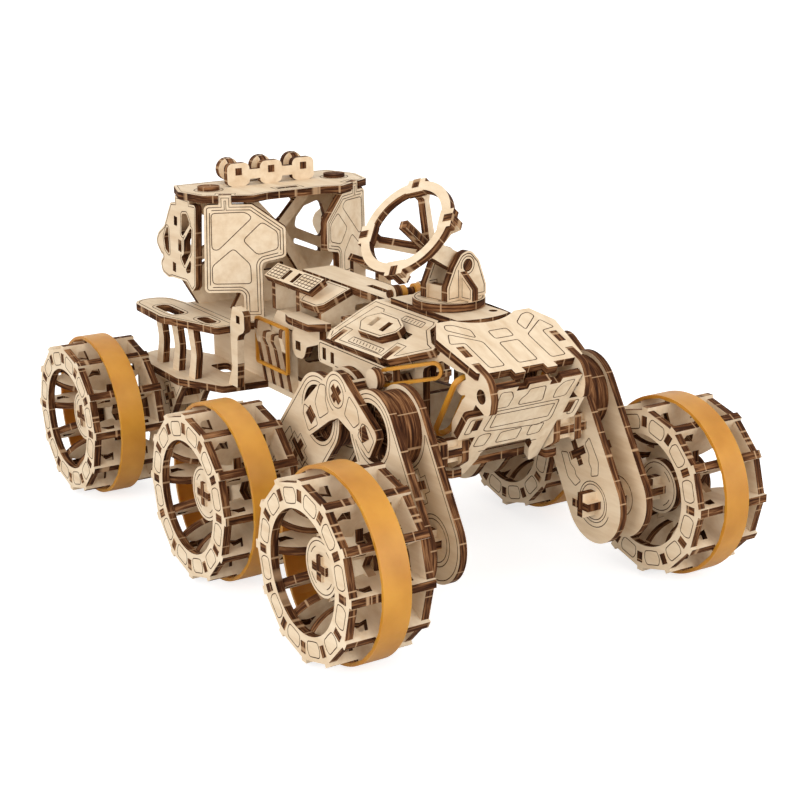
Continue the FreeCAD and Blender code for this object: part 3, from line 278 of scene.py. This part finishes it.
def face_planes(mesh):
    """The planes that are plate faces: a plate's thickness lies behind them."""
    tree = BVHTree.FromPolygons([v.co for v in mesh.vertices],
                                [tuple(p.vertices) for p in mesh.polygons])
    total, plate = {}, {}
    for polygon in mesh.polygons:
        key = plane_key(polygon, mesh.vertices)
        total[key] = total.get(key, 0.0) + polygon.area
        start = polygon.center - polygon.normal * SKIN
        distance = tree.ray_cast(start, -polygon.normal, 8 * PLY)[3]
        if distance is not None and any(
                abs(distance - (depth - SKIN)) < DEPTH_SLACK for depth in DEPTHS):
            plate[key] = plate.get(key, 0.0) + polygon.area
    return {key for key, area in plate.items()
            if area > PLATE_SHARE * total[key] and total[key] > LEAST_PLANE}


def plate_ways(planes):
    """The ways that the plates face, where a face and its back are one way."""
    ways = {max(key[:3], tuple(0.0 - n for n in key[:3])) for key in planes}
    return sorted(ways) or [FACING_SIDEWAYS]


def plate_way(polygon, vertices, ways):
    """The way the plate faces whose cut edge a polygon is, as its number among the ways.

    The edge lies along that way and is a whole number of plates wide.
    """
    def misfit(way):
        spread = [vertices[i].co.dot(way) / PLY for i in polygon.vertices]
        wide = max(spread) - min(spread)
        return LEAN_WEIGHT * abs(polygon.normal.dot(way)) + abs(wide - max(1, round(wide)))
    return min(range(len(ways)), key=lambda i: misfit(ways[i]))


def dress_node(name):
    """Rubber all over, or birch on the plate faces and charred wood on the cut edges."""
    mesh = NODES[name].data
    mesh.materials.clear()
    if name.startswith("tyre") or name.endswith("bands"):
        mesh.materials.append(AMBER)
        return
    planes = PLATE_FACES[name] = face_planes(mesh)
    found = plate_ways(planes)
    ways = [Vector(way).normalized() for way in found]
    mesh.materials.append(BIRCH)
    for way in found:
        mesh.materials.append(edge_material(way))
    for polygon in mesh.polygons:
        if plane_key(polygon, mesh.vertices) in planes:
            polygon.material_index = 0
        else:
            polygon.material_index = 1 + plate_way(polygon, mesh.vertices, ways)


for name in NODES:
    dress_node(name)


# ---------------------------------------------------------------- engraved lines
REAR_AXLE, AXLE_HEIGHT = 102.65, 33.9    # mm behind the frame's origin, and above it
LINE_RADIUS, LINE_SINK = 0.27 * MM, 0.17 * MM    # of a line, and how deep its middle lies


def at(x, y, z):
    """Place of a point in mm: ahead of the rear axle, left of the middle, above the axles."""
    return Vector((x - REAR_AXLE, y, z + AXLE_HEIGHT)) * MM


def engrave(name, body, strokes):
    """Dark lines let into the plates; a stroke is its points and whether it closes."""
    curve = bpy.data.curves.new(name, "CURVE")
    curve.dimensions = "3D"
    curve.bevel_depth = LINE_RADIUS
    curve.bevel_resolution = 1
    curve.use_fill_caps = True
    for points, closed in strokes:
        spline = curve.splines.new("POLY")
        spline.points.add(len(points) - 1)
        for item, point in zip(spline.points, points):
            item.co = (*point, 1.0)
        spline.use_cyclic_u = closed
    curve.materials.append(LINE)
    piece = bpy.data.objects.new(name, curve)
    bpy.context.scene.collection.objects.link(piece)
    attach(piece, body)


# ---------------------------------------------------------------- border lines
SPOT = 0.01 * MM            # points nearer than this are one
SHORT = 0.01                # mm, under which an outline's edge is left out
STRAIGHT = 0.004            # sine of the turn under which a run is straight
STEP = 1.2                  # mm between the points tried along a border line
LEAST_OPENING = 0.25        # of a corner, so that a sharp one isn't thrown far off
CLEARANCE = 0.95            # share of its inset that a line keeps from every outline
LEAST_RUN = 4               # points in an open run
LEAST_FACE = 60.0           # mm2, the smallest face with border lines
LEAST_OUTLINE = 24.0        # mm, the shortest outline with a border line

CAB_MIDDLE, ROVER_MIDDLE = at(32, 0, 60), at(102.65, 0, 16)
LENGTH_WEIGHT, UPWARD = 0.6, 0.05    # what a face's lengthwise and upward turn count for


def spot_key(spot):
    return tuple(round(c / SPOT) for c in spot)


def boundary(mesh, polygons):
    """The closed outlines of joined polygons, with the inside on their left."""
    places, pairs = {}, set()
    for polygon in polygons:
        keys = []
        for index in polygon.vertices:
            spot = mesh.vertices[index].co
            keys.append(spot_key(spot))
            places.setdefault(keys[-1], spot)
        pairs.update(zip(keys, keys[1:] + keys[:1]))
    follow = {}
    for first, second in sorted(pairs):
        if (second, first) not in pairs:
            follow.setdefault(first, []).append(second)
    while follow:
        loop, here = [], next(iter(follow))
        while here in follow:
            loop.append(places[here])
            nexts = follow[here]
            if len(nexts) == 1:
                del follow[here]
            here = nexts.pop()
        yield loop


def face_outlines(mesh, planes):
    """For each plate face of a mesh: its normal, its area and its outlines."""
    regions = {}
    for polygon in mesh.polygons:
        key = plane_key(polygon, mesh.vertices)
        if key in planes:
            regions.setdefault(key, []).append(polygon)
    for polygons in regions.values():
        area = sum(polygon.area for polygon in polygons)
        yield polygons[0].normal.copy(), area, list(boundary(mesh, polygons))


def face_axes(normal):
    """Two directions along a plane that make a right-handed set with its normal."""
    steady = Vector((0, 0, 1)) if abs(normal.z) < 0.9 else Vector((1, 0, 0))
    along = steady.cross(normal).normalized()
    return along, normal.cross(along)


def straightened(path, closed):
    """Leaves out the points of a path that lie on a straight run."""
    keep = []
    for i, point in enumerate(path):
        if not closed and i in (0, len(path) - 1):
            keep.append(point)
            continue
        before, after = point - path[i - 1], path[(i + 1) % len(path)] - point
        size = np.linalg.norm(before) * np.linalg.norm(after)
        if size > 0 and abs(before[0] * after[1] - before[1] * after[0]) > STRAIGHT * size:
            keep.append(point)
    return keep


def wall_distance(points, walls):
    """Distance from each point to the nearest of the walls."""
    start, run = walls[:, 0], walls[:, 1] - walls[:, 0]
    share = ((points[:, None] - start) * run).sum(2) / np.maximum((run * run).sum(1), 1e-12)
    nearest = start + np.clip(share, 0, 1)[..., None] * run
    return np.linalg.norm(points[:, None] - nearest, axis=2).min(1)


def inset_points(loop, inset):
    """Points along the closed line that lies inset mm inside a loop."""
    loop = straightened(
        [p for i, p in enumerate(loop) if np.linalg.norm(p - loop[i - 1]) > SHORT], True)
    if len(loop) < 3:
        return []
    ahead = [loop[(i + 1) % len(loop)] - p for i, p in enumerate(loop)]
    left = [np.array((-d[1], d[0])) / np.linalg.norm(d) for d in ahead]
    corners = []
    for i, point in enumerate(loop):
        opening = max(1 + left[i - 1] @ left[i], LEAST_OPENING)
        corners.append(point + (left[i - 1] + left[i]) / opening * inset)
    points = []
    for i, corner in enumerate(corners):
        run = corners[(i + 1) % len(corners)] - corner
        parts = max(1, math.ceil(np.linalg.norm(run) / STEP))
        points += [corner + run * k / parts for k in range(parts)]
    return points


def inset_runs(loop, walls, inset):
    """Runs of the line inset mm inside a loop, where it comes no nearer to any wall."""
    points = inset_points(loop, inset)
    if not points:
        return
    clear = wall_distance(np.array(points), walls) > CLEARANCE * inset
    if clear.all():
        yield straightened(points, True), True
        return
    first = int(np.argmin(clear))
    run = []
    # once round, from a point that isn't clear back to the same point
    for i in range(first, first + len(points) + 1):
        if clear[i % len(points)]:
            run.append(points[i % len(points)])
            continue
        if len(run) >= LEAST_RUN:
            yield straightened(run, False), False
        run = []


def looks_out(name, normal, middle):
    """Whether a plate face is on the side that shows, seen from its part of the rover."""
    apart = middle - (CAB_MIDDLE if name.startswith(("cab", "seat")) else ROVER_MIDDLE)
    return normal.dot(Vector((LENGTH_WEIGHT * apart.x, apart.y, UPWARD))) > 0


def border_lines(name, insets):
    """Lines along the outlines of a node's plate faces, on the side that looks out."""
    strokes = []
    for normal, area, loops in face_outlines(NODES[name].data, PLATE_FACES[name]):
        if area / MM ** 2 < LEAST_FACE:
            continue
        spots = [spot for loop in loops for spot in loop]
        middle = sum(spots, Vector()) / len(spots)
        if not looks_out(name, normal, middle):
            continue
        along, across = face_axes(normal)
        base = normal * (normal.dot(middle) - LINE_SINK)
        flat = [[np.array((p.dot(along), p.dot(across))) / MM for p in loop] for loop in loops]
        walls = np.array([(loop[i - 1], loop[i]) for loop in flat for i in range(len(loop))])
        for loop in flat:
            around = sum(np.linalg.norm(loop[i] - loop[i - 1]) for i in range(len(loop)))
            if around < LEAST_OUTLINE:
                continue
            for inset in insets:
                for run, closed in inset_runs(loop, walls, inset):
                    if len(run) > 1:
                        points = [base + (along * p[0] + across * p[1]) * MM for p in run]
                        strokes.append((points, closed))
    if strokes:
        engrave("lines_" + name, BODY_OF[name], strokes)


def both(*names):
    """The right and the left node of each name."""
    return ["%s_%s" % (name, end) for name in names for _, end in SIDES]


LINED = (
    # insets in mm from the outline, and the nodes that have them
    ((1.1, 2.3), ["cab_panels"]),
    ((1.4,), [*both("side_deck"), "cab_roof", "cab_back",
              *both("fender", "leg_front", "leg_mid", "leg_rear"), "seat_back", "cab_floor"]),
    ((0.9,), ["cab_sides", "levers", "console_panels", "turntable_mast", *both("lever_box")]),
)
for insets, names in LINED:
    for name in names:
        border_lines(name, insets)


# ---------------------------------------------------------------- drawn lines
# Places and sizes below are in mm from the rear axle, the rover's middle and the axles' height.
THICK = PLY / MM                                # of a plate
AXLES = {"front": 205.3, "mid": 118.4, "rear": 0.0}
WHEEL_MIDDLE = 72.1                             # from the rover's middle
RING_FACE, HUB_FACE = 15.9, 8.5                 # outer faces, from the wheel's own middle
KNEES = {"front": (184.5, 35.3), "mid": (147.5, 33.0)}    # x and z
LEG_OUTER_FACE, LEG_INNER_FACE, ROCKER_FACE = 48.0, 33.0, 51.0
PIVOT = (166.0, 45.1)                           # of the rocker, x and z

# Under side of a sloping plate at its edge, and its slope in degrees.
HOOD_EDGE, HOOD_SLOPE = (181.8, 66.6), 21.3     # x and z, falling to the front
NOSE_EDGE, NOSE_SLOPE = (214.2, 54.9), 124.5    # x and z, falling to the front and turned under
DECK_EDGE, DECK_SLOPE = (10.4, 64.45), 27.6     # y and z, falling to its side
KEYPAD_EDGE, KEYPAD_SLOPE = (15.5, 67.2), 33.0  # y and z, falling to its side
CAB_PANEL_EDGE, CAB_PANEL_TURN = (55.5, 9.7), 149.3    # x and y of the outer face

# Corners of the panels that repeat.
LEG_PANEL = (   # along the leg from its foot, and off its middle line
    (8.8, 3.4), (11.6, 5.2), (13.6, 4.6), (16.4, 6.2), (20.6, 5.8), (22.0, 9.4), (12.4, 10.2),
    (8.0, 7.6),
)
RING_PANEL = (  # from the axle, and degrees off the panel's middle
    (23.4, -8.6), (23.0, 0), (23.4, 8.6), (26.4, 9.4), (28.6, 7.0), (28.6, -7.0), (26.4, -9.4),
)
RING_PANELS, FIRST_PANEL = 12, 15               # on a ring, and degrees to the first
BEND_STEPS = (0, 0.33, 0.67, 1)                 # along a rounded corner
ARC_STEPS = 40                                  # in a full turn


def slope(degrees):
    return math.cos(math.radians(degrees)), math.sin(math.radians(degrees))


def surface(origin, along, across, out):
    """Turns (u, v) in mm on a plate's face into a point in the line's depth."""
    along, across, out = (Vector(v).normalized() for v in (along, across, out))
    start = at(*origin) - out * LINE_SINK
    return lambda u, v: start + (along * u + across * v) * MM


def falling_forward(edge, degrees):
    """Outer face of a plate that falls to the front from an edge."""
    (x, z), (c, s) = edge, slope(degrees)
    return surface((x + THICK * s, 0, z + THICK * c), (c, 0, -s), (0, 1, 0), (s, 0, c))


def falling_aside(side, edge, degrees):
    """Outer face of a plate that falls to one side from an edge."""
    (y, z), (c, s) = edge, slope(degrees)
    return surface((0, side * (y + THICK * s), z + THICK * c),
                   (1, 0, 0), (0, -side * c, s), (0, side * s, c))


def upright(y, out, x=0.0):
    """Face of a plate that stands lengthwise at y; out is the sign of the side it looks to."""
    return surface((x, y, 0), (1, 0, 0), (0, 0, 1), (0, out, 0))


def panel(place, *corners, bend=1.1):
    """Closed line through the corners, each rounded over bend mm."""
    spots = [np.array(corner, float) for corner in corners]
    points = []
    for i, spot in enumerate(spots):
        ends = []
        for other in (spots[i - 1], spots[(i + 1) % len(spots)]):
            run = other - spot
            length = np.linalg.norm(run)
            ends.append(spot + run / length * min(bend, 0.45 * length))
        points += [ends[0] * (1 - t) ** 2 + spot * 2 * t * (1 - t) + ends[1] * t * t
                   for t in BEND_STEPS]
    return [place(u, v) for u, v in points], True


def both_ways(place, *corners):
    """A panel and its mirror image across the middle of the plate."""
    return [panel(place, *corners), panel(place, *[(u, -v) for u, v in corners])]


def scratch(place, *points):
    """Open line through the points."""
    return [place(u, v) for u, v in points], False


def arc(place, u, v, radius, start=0.0, finish=360.0, steps=ARC_STEPS):
    """Arc about (u, v); a full turn closes."""
    closed = finish - start >= 360
    count = max(3, round(steps * (finish - start) / 360))
    turns = [math.radians(start + (finish - start) * i / count)
             for i in range(count + (not closed))]
    return [place(u + radius * math.cos(t), v + radius * math.sin(t)) for t in turns], closed


def hood_lines():
    place = falling_forward(HOOD_EDGE, HOOD_SLOPE)
    engrave("hood_panels", "rover", [
        panel(place, (8.6, -4), (8.6, 4), (13.4, 4), (13.4, -4)),
        panel(place, (15.9, -4), (15.9, 4), (28.4, 4), (28.4, -4)),
        *both_ways(place, (2.2, 14.8), (1.6, 18.0), (4.4, 19.0), (11.2, 10.6), (6.4, 9.9)),
        *both_ways(place, (6.9, 19.6), (12.4, 22.2), (13.2, 16.4), (28.4, 16.0), (28.5, 9.9),
                   (14.0, 9.6)),
    ])


def nose_lines():
    place = falling_forward(NOSE_EDGE, NOSE_SLOPE)
    engrave("nose_panels", "rover", [
        # frame across the middle, its place left bare
        panel(place, (11.8, -14.6), (11.8, 13.2), (20.5, 14.0), (23.0, 13.6), (23.4, 10.4),
              (24.4, 9.8), (22.3, -13.2), (21.4, -15.4)),
        panel(place, (13.7, -12.9), (13.7, 12.0), (20.6, 12.0), (20.6, -12.9), bend=0.6),
        # panels above and below it
        panel(place, (2.6, -3.4), (2.4, 3.4), (10.4, 5.2), (10.4, -5.2), (7.6, -5.5), (5.0, -3.4)),
        panel(place, (24.6, -6.6), (24.2, 2.4), (30.2, 2.4), (30.2, -6.8)),
        panel(place, (24.2, 6.2), (24.0, 12.0), (29.4, 11.8), (29.8, 6.6)),
        panel(place, (24.2, -16.0), (23.6, -13.6), (24.2, -10.6), (30.4, -11.4), (30.0, -16.2)),
        scratch(place, (33.5, -12.5), (33.5, 12.5)),
        *both_ways(place, (2.2, 11.0), (1.8, 15.6), (10.2, 15.0), (10.4, 9.6), (5.4, 9.2)),
        *both_ways(place, (14.2, 20.6), (14.2, 23.0), (21.8, 23.2), (21.8, 20.6)),
    ])


def deck_lines(side, name):
    """Plain dial frames with ticks either side of the lever, and the line of a cover."""
    place = falling_aside(side, DECK_EDGE, DECK_SLOPE)
    engrave("deck_marks_" + name, "rover", [
        panel(place, (142.5, -20.2), (142.5, -22.9), (164.0, -22.9), (164.0, -20.2), bend=0.6),
        panel(place, (154.0, -2.9), (154.0, -5.6), (168.0, -5.6), (167.4, -2.9), bend=0.6),
        *[scratch(place, (144.5 + 2.2 * i, -20.9), (145.3 + 2.2 * i, -22.2)) for i in range(9)],
        *[scratch(place, (156.0 + 2.0 * i, -3.5), (156.0 + 2.0 * i, -5.0)) for i in range(6)],
        scratch(place, (131.5, -19.8), (134.6, -3.4), (140.0, -3.4), (141.5, -4.8), (147.0, -4.8)),
    ])


def keypad_lines(side, name):
    """Rows and columns of keys on the front and the rear keypad."""
    place = falling_aside(side, KEYPAD_EDGE, KEYPAD_SLOPE)
    wide, high, top = 2.6, 1.5, -0.8
    strokes = []
    for first, columns in ((63.0, 4), (85.2, 5)):
        last = first + wide * columns
        strokes += [scratch(place, (first, top - high * row), (last, top - high * row))
                    for row in range(5)]
        strokes += [scratch(place, (first + wide * i, top), (first + wide * i, -6.8))
                    for i in range(columns + 1)]
    engrave("keypad_keys_" + name, "rover", strokes)


def cab_panel_lines(side, name):
    (x, y), (c, s) = CAB_PANEL_EDGE, slope(CAB_PANEL_TURN)
    place = surface((x, side * y, 0), (-s, -side * c, 0), (0, 0, 1), (-c, side * s, 0))
    engrave("cab_panel_lines_" + name, "rover", [panel(place, *corners, bend=1.6) for corners in (
        ((30.2, 88.6), (16.2, 89.0), (13.4, 86.8), (28.0, 73.2), (30.4, 73.8)),
        ((9.6, 84.9), (3.2, 80.6), (3.2, 73.6), (11.8, 71.2), (17.6, 77.3)),
        ((21.6, 74.0), (14.8, 67.2), (14.6, 59.2), (30.6, 59.2), (30.6, 66.6)),
    )])


def rocker_lines(side, name):
    """Circles round the pivot and panels on both arms of the rocker."""
    place = upright(side * ROCKER_FACE, side)
    engrave("rocker_panels_" + name, "rover", [
        arc(place, *PIVOT, 7.0, 20, 250),
        arc(place, *PIVOT, 5.0),
        panel(place, (154.4, 46.2), (150.6, 38.6), (153.6, 33.0), (160.4, 37.0), (158.2, 41.0),
              (158.6, 46.6)),
        panel(place, (142.6, 36.0), (141.6, 32.4), (145.4, 26.2), (152.4, 30.4), (150.4, 34.0)),
        panel(place, (174.8, 46.6), (171.4, 39.0), (177.6, 35.6), (181.6, 38.4), (180.2, 43.2)),
        panel(place, (183.4, 39.0), (187.0, 38.4), (191.0, 34.4), (187.4, 29.0), (180.2, 33.6)),
    ])


def leg_lines(side, name):
    """Circles round the axles' bearings and panels above them, on both faces of the legs."""
    strokes = []
    for y, out in ((LEG_OUTER_FACE, side), (LEG_INNER_FACE, -side)):
        place = upright(side * y, out)
        for end, (x, z) in KNEES.items():
            foot = AXLES[end]
            along = Vector((x - foot, z)).normalized()
            across = Vector((-along.y, along.x))
            strokes += [arc(place, foot, 0, 6.6), arc(place, foot, 0, 9.4, 200, 340)]
            for turn in (-1, 1):
                corners = [Vector((foot, 0)) + along * a + across * (turn * b)
                           for a, b in LEG_PANEL]
                strokes.append(panel(place, *corners, bend=0.8))
    engrave("leg_lines_" + name, "rover", strokes)


def wheel_lines(end, side, name):
    """Panels on both rings of a wheel, and circles on its hub discs."""
    def faces(half):
        return [upright(side * (WHEEL_MIDDLE + turn * half), turn * side, AXLES[end])
                for turn in (1, -1)]

    strokes = []
    for place in faces(RING_FACE):
        for i in range(RING_PANELS):
            middle = FIRST_PANEL + 360 // RING_PANELS * i
            spots = [(r, math.radians(middle + turn)) for r, turn in RING_PANEL]
            corners = [(r * math.cos(t), r * math.sin(t)) for r, t in spots]
            strokes.append(panel(place, *corners, bend=0.9))
    for place in faces(HUB_FACE):
        strokes.append(arc(place, 0, 0, 9.2))
        strokes += [arc(place, 0, 0, 7.4, 90 * i + 28, 90 * i + 62, 48) for i in range(4)]
    engrave("wheel_lines_%s_%s" % (end, name), "wheel_%s_%s" % (end, name), strokes)


hood_lines()
nose_lines()
for side, name in SIDES:
    deck_lines(side, name)
    keypad_lines(side, name)
    cab_panel_lines(side, name)
    rocker_lines(side, name)
    leg_lines(side, name)
    for end in AXLES:
        wheel_lines(end, side, name)


# ---------------------------------------------------------------- floor, light and camera
def floor():
    """Wide pale floor that takes the shadow and is near white to the camera."""
    bm = bmesh.new()
    bmesh.ops.create_grid(bm, x_segments=1, y_segments=1, size=12.0)
    mesh = bpy.data.meshes.new("studio_floor")
    bm.to_mesh(mesh)
    bm.free()
    piece = bpy.data.objects.new("studio_floor", mesh)
    bpy.context.scene.collection.objects.link(piece)
    material, tree, shader = new_material("studio_white")
    put(shader, Base_Color=(0.6, 0.6, 0.6, 1.0), Roughness=0.9, Specular_IOR_Level=0.0,
        Emission_Color=(*WHITE, 1.0))
    path = add(tree, "ShaderNodeLightPath")
    glow = add(tree, "ShaderNodeMath", operation="MULTIPLY_ADD")
    to_camera, to_all = 0.62, 0.10
    for value, socket in zip((path.outputs["Is Camera Ray"], to_camera, to_all), glow.inputs):
        feed(tree, value, socket)
    wire(tree, glow.outputs["Value"], shader.inputs["Emission Strength"])
    mesh.materials.append(material)


def world_light():
    """Soft light from all round, and plain white where the camera looks past the floor."""
    world = bpy.data.worlds.new("studio")
    bpy.context.scene.world = world
    world.use_nodes = True
    tree = world.node_tree
    around = tree.nodes["Background"]
    put(around, Color=(*WHITE, 1.0), Strength=0.95)
    seen = add(tree, "ShaderNodeBackground")
    put(seen, Color=(*WHITE, 1.0))
    path, mix = add(tree, "ShaderNodeLightPath"), add(tree, "ShaderNodeMixShader")
    wire(tree, path.outputs["Is Camera Ray"], mix.inputs["Fac"])
    wire(tree, around.outputs["Background"], mix.inputs[1])
    wire(tree, seen.outputs["Background"], mix.inputs[2])
    wire(tree, mix.outputs["Shader"], tree.nodes["World Output"].inputs["Surface"])


def lamps():
    target = Vector((0, 0, 0.05))
    for name, place, size, power in (
        # place and size in metres, power in watts
        ("key_light", (0.5, -1.1, 0.55), 0.8, 7.5),
        ("fill_light", (1.1, 0.35, 0.45), 0.9, 4.5),
        ("top_light", (-0.3, 0.2, 1.3), 1.0, 0.5),
    ):
        light = bpy.data.lights.new(name, "AREA")
        light.size = size
        light.energy = power
        lamp = bpy.data.objects.new(name, light)
        lamp.location = place
        lamp.rotation_euler = (target - Vector(place)).to_track_quat("-Z", "Y").to_euler()
        bpy.context.scene.collection.objects.link(lamp)


def camera():
    place = (0.5516, -0.3312, 0.2440)
    yaw, pitch, roll = math.radians(147.88), math.radians(16.57), math.radians(-0.583)
    ahead = Vector((math.cos(pitch) * math.cos(yaw), math.cos(pitch) * math.sin(yaw),
                    -math.sin(pitch)))
    right = ahead.cross(Vector((0, 0, 1))).normalized()
    up = right.cross(ahead)
    c, s = math.cos(roll), math.sin(roll)
    right, up = c * right + s * up, c * up - s * right
    data = bpy.data.cameras.new("main_view")
    data.lens = 75.55
    data.sensor_width = 36.0
    data.clip_start = 0.01
    data.clip_end = 60.0
    view = bpy.data.objects.new("main_view", data)
    turned = Matrix((right, up, -ahead)).transposed().to_4x4()
    view.matrix_world = Matrix.Translation(place) @ turned
    bpy.context.scene.collection.objects.link(view)
    bpy.context.scene.camera = view


floor()
world_light()
lamps()
camera()
bpy.context.scene.view_settings.view_transform = "Standard"
